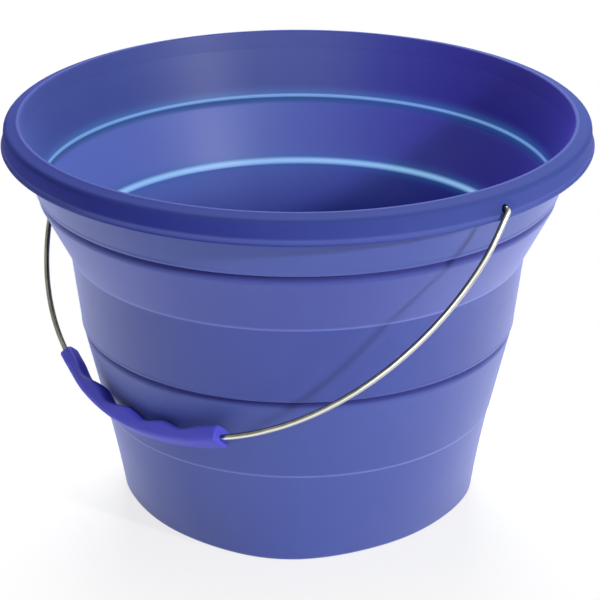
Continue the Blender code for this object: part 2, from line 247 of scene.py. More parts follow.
def makeRim():
    # the section of crest, sloping top, skirt, lip and cavity, rounded and turned about the axis
    s = rimShape
    shoulder = rimRadius - s["skirtFlare"]
    skirtInside = rimRadius - s["skirtWall"]
    cavityTop = bucketHeight - s["topWall"]
    topFaces = cavityTop + s["cavityRound"]
    corners = [
        (rimInner, bucketHeight, s["innerRound"]),
        (rimInner + s["crestFlat"], bucketHeight, s["crestRound"]),
        (rimInner + s["crestFall"], bucketHeight - s["crestDrop"], s["crestRound"]),
        (shoulder, bucketHeight - s["topSlope"], s["shoulderRound"]),
        (rimRadius - s["lipBead"], lipHeight + s["lipBeadHeight"], s["lipRound"]),
        (rimRadius, lipHeight + s["lipBeadHeight"] / 2, s["beadRound"]),
        (rimRadius - s["lipBead"] / 2, lipHeight, s["beadRound"]),
        (skirtInside, lipHeight, s["lipRound"] / 2),
        (shoulder - s["skirtWall"], cavityTop - s["cavitySlope"], s["cavityRound"]),
        (collarInner(cavityTop) + wall["stiff"], cavityTop, s["cavityRound"]),
        (collarInner(rimSeam) + wall["stiff"] - wall["neck"], rimSeam, wall["seam"]),
        (collarInner(rimSeam), rimSeam, wall["seam"]),
    ]
    pad, tick = padShape, tickShape
    fineZones = [
        (0.0, pad["zoneDeg"], pad["zoneColumns"]),
        (tick["turnDeg"], tick["zoneDeg"], tick["zoneColumns"]),
    ]
    grid = turnedGrid(roundedLoop(corners, s["profileStep"]), ringAngles(wall["columns"], fineZones))
    # the pads: the outer face swells out round each pivot, fading at the edge of an ellipse
    x, y, z = grid[..., 0], grid[..., 1], grid[..., 2]
    radius = np.hypot(x, y)
    outer = smoothStep(radius, skirtInside + pad["skinStart"], skirtInside + pad["skinEnd"]) * (z < topFaces)
    across = y / pad["halfWidth"]
    up = np.maximum(z - pivotHeight, 0.0) / pad["halfHeight"]
    down = np.maximum(pivotHeight - z, 0.0) / (pad["halfHeight"] * pad["lowerShare"])
    swell = smoothStep(-np.sqrt(across ** 2 + up ** 2 + down ** 2), -pad["fadeStart"], -pad["fadeEnd"])
    flat = rimRadius + pad["proud"] - np.abs(x)
    grid[..., 0] += np.sign(x) * np.maximum(flat, 0.0) * swell * outer
    # the ticks: a bell-shaped groove across two sides, from the middle of the crest over the shoulder
    radius = np.hypot(x, y)
    aside = np.sin(np.arctan2(y, x) - math.radians(tick["turnDeg"])) * rimRadius / tick["width"]
    share = smoothStep(radius, rimInner + tick["start"], rimInner + tick["full"])
    share = share * smoothStep(z, bucketHeight - tick["fadeLow"], bucketHeight - tick["fadeHigh"])
    grid[..., 2] -= tick["depth"] * np.exp(-aside ** 2) * share * (z > topFaces)
    rim = gridPiece("rimShell", grid, "rim", "rim_ring", closedRows=True)
    for side in (-1, 1):
        drillHole(rim, side)
    return rim


def drillHole(rim, side):
    # a round hole through the skirt, cut along the pivot axis
    start, end = rimRadius - padShape["holeInside"], rimRadius + padShape["holeOutside"]
    bpy.ops.mesh.primitive_cylinder_add(vertices=48, radius=padShape["holeRadius"], depth=end - start)
    drill = bpy.context.object
    drill.rotation_euler = (0.0, math.radians(90), 0.0)
    drill.location = (side * (end + start) / 2, 0.0, pivotHeight)
    cut = rim.modifiers.new("pivotHole", "BOOLEAN")
    cut.operation = "DIFFERENCE"
    cut.solver = "EXACT"
    cut.object = drill
    graph = bpy.context.evaluated_depsgraph_get()
    made = bpy.data.meshes.new_from_object(rim.evaluated_get(graph))
    rim.modifiers.clear()
    old = rim.data
    rim.data = made
    bpy.data.meshes.remove(old)
    smoothBetweenEdges(rim.data)
    bpy.data.objects.remove(drill)


ringShape = {
    "beadOut": 0.00015, "beadTop": 0.0022, "beadLow": 0.0012, "beadRound": 0.0010,
    "lipRound": 0.0006, "tuck": 0.0002,
}


def makeRing(name, body, replaced, topOuter, topInner, topHeight, lowRadius, lowHeight):
    # a stiff ring of the wall, straight from top to bottom, with a fine bead above its lower edge
    s = ringShape
    corners = [
        (topOuter, topHeight, wall["seam"]),
        (lowRadius + s["beadOut"] / 2, lowHeight + s["beadTop"], s["beadRound"]),
        (lowRadius + s["beadOut"], lowHeight + s["beadLow"], s["lipRound"]),
        (lowRadius - s["tuck"], lowHeight, s["lipRound"]),
        (lowRadius - wall["stiff"], lowHeight, wall["seam"]),
        (topInner, topHeight, wall["seam"]),
    ]
    grid = turnedGrid(roundedLoop(corners), ringAngles(wall["columns"]))
    return gridPiece(name, grid, body, replaced, closedRows=True)


webShape = {
    "flangeBack": 0.0014, "flangeRound": 0.000225,      # top edge, under the section above
    "hingeDepth": 0.0030, "hingeHeight": 0.0040, "hingeRound": 0.0036, "hingeWall": 0.0011,
    "ledge": 0.0012,                                    # the wall below the hinge starts this far inside
    "rollOut": 0.0006, "rollHeight": 0.0013, "rollRound": 0.0009,
    "innerLow": 0.0025, "innerTop": 0.0033,
}


def makeWeb(name, upperRadius, upperLine, lowerRadius, lowerLine, replaced):
    # soft fold web: a thin hinge in a groove under the section above, a taper, and a roll over the next section
    s = webShape
    top, low = upperLine - wall["seam"], lowerLine + wall["seam"]
    hinge = upperRadius - s["hingeDepth"]
    corners = [
        (upperRadius - s["flangeBack"], top, s["flangeRound"]),
        (hinge, top - wall["edgeRound"], wall["edgeRound"]),
        (upperRadius - s["ledge"], top - s["hingeHeight"], s["hingeRound"]),
        (lowerRadius + s["rollOut"], low + s["rollHeight"], s["rollRound"]),
        (lowerRadius, low, wall["seam"]),
        (lowerRadius - wall["stiff"], low, wall["seam"]),
        (lowerRadius - s["innerLow"], low + s["rollHeight"], s["rollRound"]),
        (hinge - s["hingeWall"], top - s["hingeHeight"], s["rollRound"]),
        (upperRadius - s["innerTop"], top, wall["seam"]),
    ]
    grid = turnedGrid(roundedLoop(corners), ringAngles(wall["columns"]))
    web = gridPiece(name, grid, None, replaced, closedRows=True)
    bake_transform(web)
    return web


cupShape = {
    "footRadius": 0.0935, "squareness": 0.0215, "cornering": 0.0040, "floorWall": 0.0030, "footRecess": 0.0015,
    "footRing": 0.0090, "footRound": 0.0025, "floorRound": 0.0050, "profileStep": 0.0022,
}


def makeCup():
    # foot ring, raised underside, tapered wall and filleted floor as one section, turned about the axis
    s = cupShape
    slope = (lowerFoldRadius - s["footRadius"]) / lowerFoldLine
    floorTop = s["footRecess"] + s["floorWall"]
    ringInner = s["footRadius"] - s["footRound"] - s["footRing"]
    corners = [
        (0.0, s["footRecess"], 0.0),
        (ringInner - s["footRecess"], s["footRecess"], s["footRecess"]),
        (ringInner, 0.0, wall["edgeRound"]),
        (s["footRadius"], 0.0, s["footRound"]),
        (lowerFoldRadius, lowerFoldLine, wall["seam"]),
        (lowerFoldRadius - wall["stiff"], lowerFoldLine, wall["seam"]),
        (s["footRadius"] + slope * floorTop - wall["stiff"], floorTop, s["floorRound"]),
        (0.0, floorTop, 0.0),
    ]
    grid = turnedGrid(roundedLoop(corners, s["profileStep"], closed=False), ringAngles(wall["columns"]))
    # round at the fold line, drawn to a rounded square at the foot: radius times 1 + drop^2 (b cos 8a - c cos 4a)
    turn = np.arctan2(grid[..., 1], grid[..., 0])
    drop = np.maximum((lowerFoldLine - grid[..., 2]) / lowerFoldLine, 0.0)
    stretch = 1.0 + drop ** 2 * (s["cornering"] * np.cos(8.0 * turn) - s["squareness"] * np.cos(4.0 * turn))
    grid[..., :2] *= stretch[..., None]
    return gridPiece("cupShell", grid, "base", "base_cup")


# Bail wire and grip

bailShape = {
    "wireDiameter": 0.0030, "leg": 0.0218, "bowShare": 0.960, "dip": 0.0013, "sideGap": 0.0054,
    "shoulderOut": 0.0011, "bend": 0.0024, "hookRise": 0.0034,
    "domeDeg": (90.0, 65.0, 40.0, 15.0), "domeShare": 0.5,
    "sides": 24, "step": 0.001, "bowSteps": 200, "bendSteps": 10,
    "easeReach": 24, "easeWidth": 8.0, "easeHold": 0.004,      # steps, steps and metres
}
gripShape = {
    "length": 0.137, "shift": 0.0010, "skew": 0.0006, "width": 0.0120, "outer": 0.0035,
    "valley": 0.0032, "ridge": 0.0061, "endBlock": 0.0105, "endRound": 0.0014, "endShare": 0.88,
    "boxShare": 0.48, "fingers": 4, "boreGap": 0.00012, "partingLine": 0.00010, "partingWidth": 0.004,
    "taper": 0.22, "taperLength": 0.034, "boreLip": 0.0005, "faceShares": (0.15, 0.6),
    "sides": 96, "stations": 220, "endStations": 9, "boreStations": 60,
}
wireRadius = bailShape["wireDiameter"] / 2
bowHalfWidth = rimRadius + bailShape["sideGap"]
bowDepth = bowHalfWidth * bailShape["bowShare"]
lean = math.atan2(-wireLow.y - wireRadius, pivotHeight - wireLow.z - wireRadius)


def bowPoints(turn):
    # points on a half ellipse (a sin t, -leg - b cos t), pushed out by a squared cosine inside the grip, and the
    # outward direction at each
    out = np.stack([bowDepth * np.sin(turn), -bowHalfWidth * np.cos(turn)], -1)
    out /= np.linalg.norm(out, axis=-1, keepdims=True)
    spot = np.stack([bowHalfWidth * np.sin(turn), -bailShape["leg"] - bowDepth * np.cos(turn)], -1)
    along = np.clip((bowHalfWidth * turn - gripShape["shift"]) / (gripShape["length"] / 2), -1.0, 1.0)
    return spot + out * (bailShape["dip"] * np.cos(math.pi / 2 * along) ** 2)[..., None], out


def leanOver(grid):
    # from the bail's own plane (x, out of plane, z from the pivot) to where it hangs, turned about the pivot axis
    x, y, z = grid[..., 0], grid[..., 1], grid[..., 2]
    c, s = math.cos(lean), math.sin(lean)
    return np.stack([x, y * c + z * s, -y * s + z * c + pivotHeight], -1)


def arcPoints(centre, radius, startDeg, endDeg):
    # part of a circle: centre + r (cos a, sin a)
    turn = np.radians(np.linspace(startDeg, endDeg, bailShape["bendSteps"] + 1))
    return np.stack([centre[0] + radius * np.cos(turn), centre[1] + radius * np.sin(turn)], -1)


def eased(path, start):
    # evenly spaced along its length, then averaged with a bell curve so that the leg runs smoothly into the bow
    path = np.concatenate([[start], path])
    length = np.concatenate([[0.0], np.cumsum(np.linalg.norm(np.diff(path, axis=0), axis=1))])
    even = np.linspace(0.0, length[-1], int(length[-1] / bailShape["step"]))
    path = np.stack([np.interp(even, length, path[:, i]) for i in (0, 1)], -1)
    reach = bailShape["easeReach"]
    bell = np.exp(-0.5 * (np.arange(-reach, reach + 1) / bailShape["easeWidth"]) ** 2)
    bell /= bell.sum()
    ahead = 2.0 * path[0] - path[reach:0:-1]
    behind = path[-2:-reach - 2:-1] * np.array([-1.0, 1.0])     # the bow mirrors itself at its lowest point
    padded = np.concatenate([ahead, path, behind])
    soft = np.stack([np.convolve(padded[:, i], bell, "valid") for i in (0, 1)], -1)
    hold = np.exp(-even / bailShape["easeHold"])[:, None]
    return (soft * (1.0 - hold) + path * hold)[1:]


def makeWire():
    # a tube along hook, knee, leg and bow of one half and their mirror image
    s = bailShape
    cavityIn = collarInner(pivotHeight) + wall["stiff"]
    skirtIn = rimRadius - rimShape["skirtWall"] - rimShape["skirtFlare"] / 2
    hook = (cavityIn + skirtIn) / 2
    shoulder = rimRadius + s["shoulderOut"] + wireRadius
    bend = min(s["bend"], s["hookRise"], (shoulder - hook) / 2)
    bow = bowPoints(np.linspace(math.pi / 2, 0.0, s["bowSteps"]))[0]
    knee = arcPoints((shoulder - bend, -bend), bend, 90, 0)
    sweep = eased(np.concatenate([spaced(knee[-1], bow[0], s["step"]), bow]), knee[-1])
    half = np.concatenate([
        [[hook, s["hookRise"]]],
        arcPoints((hook + bend, bend), bend, 180, 270),
        knee,
        sweep,
    ])
    path = np.concatenate([half, half[-2::-1] * np.array([-1.0, 1.0])])
    path = path[np.r_[True, np.linalg.norm(np.diff(path, axis=0), axis=1) > 1e-6]]
    # centre + r (cos f normal + sin f sideways), closed by a small dome at each end
    tangent = np.gradient(path, axis=0)
    tangent /= np.linalg.norm(tangent, axis=1, keepdims=True)
    normal = np.stack([-tangent[:, 1], tangent[:, 0]], -1)
    ringTurn = 2.0 * math.pi * np.arange(s["sides"]) / s["sides"]
    dome = np.radians(s["domeDeg"])
    bulge = wireRadius * s["domeShare"]
    ends = [(path[0] - tangent[0] * bulge * math.sin(t), normal[0], math.cos(t)) for t in dome]
    tips = [(path[-1] + tangent[-1] * bulge * math.sin(t), normal[-1], math.cos(t)) for t in dome[::-1]]
    centres = np.array([e[0] for e in ends] + list(path) + [t[0] for t in tips])
    normals = np.array([e[1] for e in ends] + list(normal) + [t[1] for t in tips])
    sizes = np.array([e[2] for e in ends] + [1.0] * len(path) + [t[2] for t in tips]) * wireRadius
    sizes[[0, -1]] = 0.0
    ring = normals[:, None, :] * (np.cos(ringTurn) * sizes[:, None])[..., None]
    flat = centres[:, None, :] + ring
    sideways = np.sin(ringTurn) * sizes[:, None]
    grid = leanOver(np.stack([flat[..., 0], sideways, flat[..., 1]], -1))
    return gridPiece("bailWire", grid, "bail", "bail_wire")


def markAround(wire):
    # how far each point faces away from the pivot axis in the bail's plane, kept on the mesh for the painted
    # highlight and shade streaks
    count = len(wire.data.vertices)
    facing, spot = np.empty(count * 3), np.empty(count * 3)
    wire.data.vertices.foreach_get("normal", facing)
    wire.data.vertices.foreach_get("co", spot)
    facing, spot = facing.reshape(-1, 3), spot.reshape(-1, 3)
    c, s = math.cos(lean), math.sin(lean)
    along = facing[:, 1] * s + facing[:, 2] * c
    depth = spot[:, 1] * s + (spot[:, 2] - pivotHeight) * c
    out = (facing[:, 0] * spot[:, 0] + along * depth) / np.hypot(spot[:, 0], depth)
    wire.data.attributes.new("around", "FLOAT", "POINT").data.foreach_set("value", out.astype(np.float32))


def gripTurns():
    angle = 2.0 * math.pi * (np.arange(gripShape["sides"]) + 0.5) / gripShape["sides"]
    return np.cos(angle), np.sin(angle)


def gripSection(place, size):
    # one ring per place along the grip: a superellipse, powers of cosine and sine, whose depth towards the pivot
    # follows a cosine wave with one valley for each finger
    s = gripShape
    half = s["length"] / 2
    pitch = (s["length"] - 2 * s["endBlock"]) / s["fingers"]
    wave = 0.5 + 0.5 * np.cos(2.0 * math.pi * place / pitch)
    wave = np.where(np.abs(place) > pitch * s["fingers"] / 2, 1.0, wave)
    finger = s["valley"] + (s["ridge"] - s["valley"]) * wave
    skew = s["skew"] * place / half
    size = size * (1.0 - s["taper"] * smoothStep(-place, half - s["taperLength"], half - s["endBlock"]))
    depth, across = gripTurns()
    reach = np.where(depth > 0.0, (s["outer"] + skew)[:, None], (finger - skew)[:, None])
    high = np.sign(depth) * np.abs(depth) ** s["boxShare"] * reach * size[:, None]
    wide = np.sign(across) * np.abs(across) ** s["boxShare"] * s["width"] / 2 * size[:, None]
    # a fine parting line stands up along both sides
    ridge = np.exp(-((np.abs(across) - 1.0) / s["partingWidth"]) ** 2)
    wide = wide + s["partingLine"] * ridge * np.sign(across)
    spot, out = bowPoints((place + s["shift"]) / bowHalfWidth)
    flat = spot[:, None, :] + out[:, None, :] * high[..., None]
    return np.stack([flat[..., 0], wide, flat[..., 1]], -1)


def makeGrip():
    # the outer surface, an end face, the bore and the other end face as one closed grid
    s = gripShape
    half = s["length"] / 2
    turn = np.radians(np.linspace(0.0, 90.0, s["endStations"]))
    endPlace = -half + s["endRound"] * (1.0 - np.cos(turn))
    endSize = s["endShare"] + (1.0 - s["endShare"]) * np.sin(turn)
    body = np.linspace(-half + s["endRound"], half - s["endRound"], s["stations"])[1:-1]
    place = np.concatenate([endPlace, body, -endPlace[::-1]])
    size = np.concatenate([endSize, np.ones(len(body)), endSize[::-1]])
    outer = gripSection(place, size)
    # the end faces run in to the bore, and the bore runs through
    bore = wireRadius + s["boreGap"]
    through = np.linspace(half - s["boreLip"], s["boreLip"] - half, s["boreStations"])
    borePlace = np.concatenate([[half], through, [-half]])
    depth, across = gripTurns()
    spot, out = bowPoints((borePlace + s["shift"]) / bowHalfWidth)
    flat = spot[:, None, :] + out[:, None, :] * (depth * bore)[None, :, None]
    inner = np.stack([flat[..., 0], np.broadcast_to(across * bore, flat.shape[:2]), flat[..., 1]], -1)
    face = [outer[-1] * (1 - t) + inner[0] * t for t in s["faceShares"]]
    back = [outer[0] * (1 - t) + inner[-1] * t for t in s["faceShares"][::-1]]
    grid = leanOver(np.concatenate([outer, np.array(face), inner, np.array(back)]))
    return gridPiece("gripShell", grid, "bail", "handle_grip", closedRows=True)


# Materials

class Sock:
    # one node socket; + - * / and ** on it add Math nodes to the same material
    def __init__(self, paint, socket):
        self.paint = paint
        self.socket = socket

    def join(self, operation, first, second):
        return self.paint.node("ShaderNodeMath", {"operation": operation}, {0: first, 1: second})

    def __add__(self, other):
        return self.join("ADD", self, other)

    def __radd__(self, other):
        return self.join("ADD", other, self)

    def __sub__(self, other):
        return self.join("SUBTRACT", self, other)

    def __rsub__(self, other):
        return self.join("SUBTRACT", other, self)

    def __mul__(self, other):
        return self.join("MULTIPLY", self, other)

    def __rmul__(self, other):
        return self.join("MULTIPLY", other, self)

    def __truediv__(self, other):
        return self.join("DIVIDE", self, other)

    def __pow__(self, other):
        return self.join("POWER", self, other)


class Paint:
    # the node tree of a material or of the world, and the one method that adds nodes to it
    def __init__(self, owner, outputKind):
        owner.use_nodes = True
        self.tree = owner.node_tree
        self.tree.nodes.clear()
        self.output = self.make(outputKind)

    def make(self, kind, settings=None, sockets=None):
        made = self.tree.nodes.new(kind)
        for key, value in (settings or {}).items():
            setattr(made, key, value)
        for key, value in (sockets or {}).items():
            self.feed(made.inputs[key], value)
        return made

    def node(self, kind, settings=None, sockets=None, outputName=0):
        return Sock(self, self.make(kind, settings, sockets).outputs[outputName])

    def show(self, shader):
        self.feed(self.output.inputs[0], shader)

    def feed(self, socket, value):
        if isinstance(value, Sock):
            self.tree.links.new(value.socket, socket)
        elif isinstance(value, (tuple, list)) and socket.type == "RGBA" and len(value) == 3:
            socket.default_value = (*value, 1.0)
        else:
            socket.default_value = value

    def noise(self, scale, detail, roughness=0.5, stretch=None):
        place = self.place
        if stretch:
            place = self.node("ShaderNodeMapping", sockets={"Vector": place, "Scale": stretch})
        return self.node("ShaderNodeTexNoise", sockets={
            "Vector": place, "Scale": scale, "Detail": detail, "Roughness": roughness})

    def band(self, value, low, high):
        # 0 below low, 1 above high, a smooth step between
        return self.node("ShaderNodeMapRange", {"interpolation_type": "SMOOTHSTEP"}, {
            "Value": value, "From Min": low, "From Max": high})

    def peak(self, value, centre, reach):
        # 1 at the centre and 0 beyond the reach on both sides
        away = self.node("ShaderNodeMath", {"operation": "ABSOLUTE"}, {0: value - centre})
        return self.node("ShaderNodeMapRange", {"interpolation_type": "SMOOTHSTEP"}, {
            "Value": away, "From Min": reach, "From Max": 0.0})

    def mix(self, share, first, second):
        return self.node("ShaderNodeMix", {"data_type": "RGBA"}, {0: share, 6: first, 7: second}, outputName=2)

    def bump(self, height, distance, strength, under=None):
        sockets = {"Strength": strength, "Distance": distance, "Height": height}
        if under:
            sockets["Normal"] = under
        return self.node("ShaderNodeBump", sockets=sockets)

    def seenDirectly(self):
        # 1 for camera, glossy and transmission rays, 0 for those that only light the object
        rays = ("Is Camera Ray", "Is Glossy Ray", "Is Transmission Ray")
        return sum(self.node("ShaderNodeLightPath", outputName=ray) for ray in rays)


shaderSockets = {
    "color": "Base Color", "roughness": "Roughness", "metallic": "Metallic", "ior": "IOR",
    "specular": "Specular IOR Level", "normal": "Normal",
    "sheen": "Sheen Weight", "sheenRoughness": "Sheen Roughness", "sheenTint": "Sheen Tint",
    "glow": "Emission Color", "glowStrength": "Emission Strength",
}


class Finish(Paint):
    # a material: a Principled shader, and where each of its points is on the piece
    def __init__(self, name):
        self.material = bpy.data.materials.new(name)
        super().__init__(self.material, "ShaderNodeOutputMaterial")
        self.shader = self.make("ShaderNodeBsdfPrincipled")
        self.show(Sock(self, self.shader.outputs[0]))
        self.place = self.node("ShaderNodeTexCoord", outputName="Object")
        parts = self.make("ShaderNodeSeparateXYZ", sockets={0: self.place})
        self.x, self.y, self.z = (Sock(self, parts.outputs[i]) for i in range(3))
        self.radius = (self.x * self.x + self.y * self.y) ** 0.5

    def along(self, direction):
        # how far each point lies from the axis in a level direction (x, y)
        return self.x * direction[0] + self.y * direction[1]

    def set(self, **values):
        for name, value in values.items():
            self.feed(self.shader.inputs[shaderSockets[name]], value)


# the wall's sections are one blue plastic; their base colours are lighter and darker copies of it, painted shade and
# light, darkest in the upper web and band, lightest in the cup
plasticLook = {
    "rim": {
        "base": (0.047, 0.068, 0.256), "deep": (0.0195, 0.0245, 0.212), "roughness": 0.60, "specular": 0.02,
        "edges": True,
    },
    "collar": {
        "base": (0.057, 0.086, 0.320), "deep": (0.051, 0.076, 0.300), "roughness": 0.42, "specular": 0.38,
        "sheen": True,
    },
    "upperWeb": {
        "base": (0.043, 0.064, 0.304), "deep": (0.038, 0.056, 0.285), "roughness": 0.46, "specular": 0.38,
        "sheen": True, "folds": True,
    },
    "band": {
        "base": (0.044, 0.066, 0.294), "deep": (0.039, 0.058, 0.275), "roughness": 0.42, "specular": 0.38,
        "sheen": True,
    },
    "lowerWeb": {
        "base": (0.054, 0.081, 0.322), "deep": (0.048, 0.072, 0.300), "roughness": 0.46, "specular": 0.38,
        "sheen": True, "folds": True,
    },
    "cup": {
        "base": (0.059, 0.087, 0.340), "deep": (0.053, 0.078, 0.320), "roughness": 0.42, "specular": 0.38,
        "sheen": True,
    },
    "grip": {"base": (0.078, 0.077, 0.56), "deep": (0.068, 0.067, 0.52), "roughness": 0.46, "specular": 0.30},
}
# what all the plastic has in common: a noise is (scale, detail, roughness), and a band runs from where a mask
# is 0 to where it is 1
grainLook = {
    "drift": (9.0, 4.0, 0.55), "flow": (60.0, 3.0, 0.6), "flowStretch": (1.0, 1.0, 0.18),
    "grain": (2600.0, 2.0, 0.5), "wave": (38.0, 2.0, 0.4),
    "mottleDrift": 0.7, "mottleFlow": 0.3, "mottleBand": (0.34, 0.66),
    "nickScale": 42.0, "nickBand": (0.050, 0.022), "nickShare": 0.6, "nickColour": (0.22, 0.26, 0.58),
    "pick": (31.0, 0.0), "pickBand": (0.64, 0.68),
    "scuff": (22.0, 6.0, 0.75), "scuffStretch": (1.0, 1.0, 3.0), "scuffBand": (0.56, 0.80),
    "roughDrift": 0.10, "roughScuff": 0.10,
    "reliefGrain": 0.35, "reliefFlow": 0.4, "reliefDepth": 0.00006, "reliefShare": 0.55,
    "waveDepth": 0.0006, "waveShare": 0.12,
    "highlightLeast": 0.6, "highlightDrift": 0.8, "ior": 1.49,
    "sheen": 0.85, "sheenRoughness": 0.42, "sheenTint": (0.52, 0.57, 1.0),
}
# painted shade: the rim changes slowly from its deep colour at the left to its base colour, less of it on top, and
# painted highlights make its crest and lip pale
rimPaintedLight = {
    "direction": (0.643, 0.766), "band": (-0.13, 0.11), "wander": 0.05, "mottleShare": 0.1,
    "topLow": 0.0045, "topHigh": 0.0015, "topShare": 0.5,
    "crestIn": 0.0012, "crestReach": 0.0013, "crestLow": 0.0016, "crestHigh": 0.0006, "crestShare": 0.55,
    "lipRise": 0.0022, "lipReach": 0.0018, "lipShare": 0.90, "edgeHighlightColour": (0.085, 0.112, 0.37),
}
# painted highlights along the fold lines at the tops of the band and the cup, and painted shade, with more
# roughness, in the grooves under the collar and the band
foldPaintedLight = {
    "pale": (upperFoldLine, lowerFoldLine), "paleRise": 0.0006, "paleReach": 0.0014, "paleShare": 0.85,
    "foldHighlightColour": (0.125, 0.165, 0.50),
    "deep": (collarLine, bandLine), "deepDrop": 0.0017, "deepReach": 0.0034, "deepRoughness": 0.45,
    "grooveShadeColour": (0.020, 0.024, 0.17),
}
# painted glow along each thin hinge: its height, the width of the bright core, and its colour; the lower one is
# thicker
glowLook = {
    "lines": ((collarLine, 0.0013, (0.17, 0.36, 0.58)), (upperFoldLine + 0.0020, 0.0023, (0.23, 0.46, 0.62))),
    "haloColour": (0.011, 0.065, 0.115), "haloReach": 0.0085,
    "innerBand": (0.35, -0.10),         # from faces that look outwards, unlit, to those that look at the axis
    "wander": (14.0, 2.0), "wanderLeast": 0.80, "wanderShare": 0.4,
    # the painted glow is brighter at the back; a faint painted glow at the left and painted shade at the right, on
    # the inner side
    "toBack": (-0.77, 0.64), "backBand": (-0.12, 0.06), "frontShare": 0.35,
    "toLeft": (-0.64, -0.77), "washBand": (-0.13, 0.07), "leftGlowColour": (0.044, 0.066, 0.165),
    "washDepth": 0.040, "washAbove": 0.002, "washBelow": 0.003,
    "shadeBand": (0.03, -0.12), "shadeColour": (0.042, 0.022, 0.41), "shadeShare": 0.8,
}


def highlightStrength(p, drift):
    # how strongly the painted highlights show, from place to place
    return grainLook["highlightLeast"] + drift * grainLook["highlightDrift"]


def nicked(p, colour):
    # small pale spots: the middles of some cells, chosen by a slow noise
    s = grainLook
    cells = {"Vector": p.place, "Scale": s["nickScale"], "Randomness": 1.0}
    spots = p.node("ShaderNodeTexVoronoi", {"feature": "F1"}, cells)
    nick = p.band(spots, *s["nickBand"]) * p.band(p.noise(*s["pick"]), *s["pickBand"])
    return p.mix(nick * s["nickShare"], colour, s["nickColour"])


def rimColour(p, look, drift, mottle):
    # painted shade from deep to base colour across the rim, nearer to base on top, and painted highlights at crest
    # and lip
    s = rimPaintedLight
    across = p.band(p.along(s["direction"]) + (drift - 0.5) * s["wander"], *s["band"])
    share = across * (1.0 - s["mottleShare"]) + mottle * s["mottleShare"]
    colour = p.mix(share, look["deep"], look["base"])
    # the top takes less of the painted shade
    top = p.band(p.z, bucketHeight - s["topLow"], bucketHeight - s["topHigh"])
    colour = p.mix(top * s["topShare"], colour, look["base"])
    # painted highlights along the crest and the lip, stronger where the drift noise is high
    crest = p.peak(p.radius, rimInner + s["crestIn"], s["crestReach"])
    crest = crest * p.band(p.z, bucketHeight - s["crestLow"], bucketHeight - s["crestHigh"])
    lip = p.peak(p.z, lipHeight + s["lipRise"], s["lipReach"])
    pale = (crest * s["crestShare"] + lip * s["lipShare"]) * highlightStrength(p, drift)
    return p.mix(pale, colour, s["edgeHighlightColour"])


def foldColour(p, colour, drift):
    # the colour with the painted fold highlights and groove shade in it, and how much rougher the grooves are made
    s = foldPaintedLight
    grooveRoughness = 0.0
    # painted highlights along the fold lines at the tops of the band and the cup
    for line in s["pale"]:
        edge = p.peak(p.z, line + s["paleRise"], s["paleReach"])
        colour = p.mix(edge * s["paleShare"] * highlightStrength(p, drift), colour, s["foldHighlightColour"])
    # painted shade in the grooves under the collar and the band, which are also made rougher
    for line in s["deep"]:
        groove = p.peak(p.z, line - s["deepDrop"], s["deepReach"])
        colour = p.mix(groove, colour, s["grooveShadeColour"])
        grooveRoughness = grooveRoughness + groove * s["deepRoughness"]
    return colour, grooveRoughness


def glowing(p, colour):
    # the wall's inner side: a painted glow along the thin hinges, a faint painted glow at the left and painted shade
    # in a deeper colour at the right
    s = glowLook
    facing = p.node("ShaderNodeTexCoord", outputName="Normal")
    outward = p.node("ShaderNodeVectorMath", {"operation": "DOT_PRODUCT"}, {0: facing, 1: p.place}, "Value")
    level = p.node("ShaderNodeSeparateXYZ", sockets={0: facing}, outputName=2) * p.z
    inner = p.band((outward - level) / p.radius, *s["innerBand"])
    wander = s["wanderLeast"] + p.noise(*s["wander"]) * s["wanderShare"]
    toBack = p.band(p.along(s["toBack"]), *s["backBand"])
    share = inner * wander * (s["frontShare"] + toBack * (1.0 - s["frontShare"]))
    # a faint painted glow on the inner side at the left, from below the lower hinge up to the collar line
    toLeft = p.along(s["toLeft"])
    lowLine = s["lines"][-1][0]
    leftGlow = p.band(p.z, lowLine - s["washDepth"], lowLine)
    leftGlow = leftGlow * p.band(p.z, collarLine + s["washAbove"], collarLine - s["washBelow"])
    leftGlow = leftGlow * share * p.band(toLeft, *s["washBand"])
    lit = p.mix(leftGlow, (0.0, 0.0, 0.0), s["leftGlowColour"])
    for height, reach, core in s["lines"]:
        halo = p.peak(p.z, height, s["haloReach"])
        lit = p.mix(halo * halo * share, lit, s["haloColour"])
        lit = p.mix(p.peak(p.z, height, reach) * share, lit, core)
    # painted shade: a deeper colour on the inner side at the right
    shade = inner * p.band(toLeft, *s["shadeBand"]) * s["shadeShare"]
    p.set(color=p.mix(shade, colour, s["shadeColour"]), glow=lit, glowStrength=1.0)


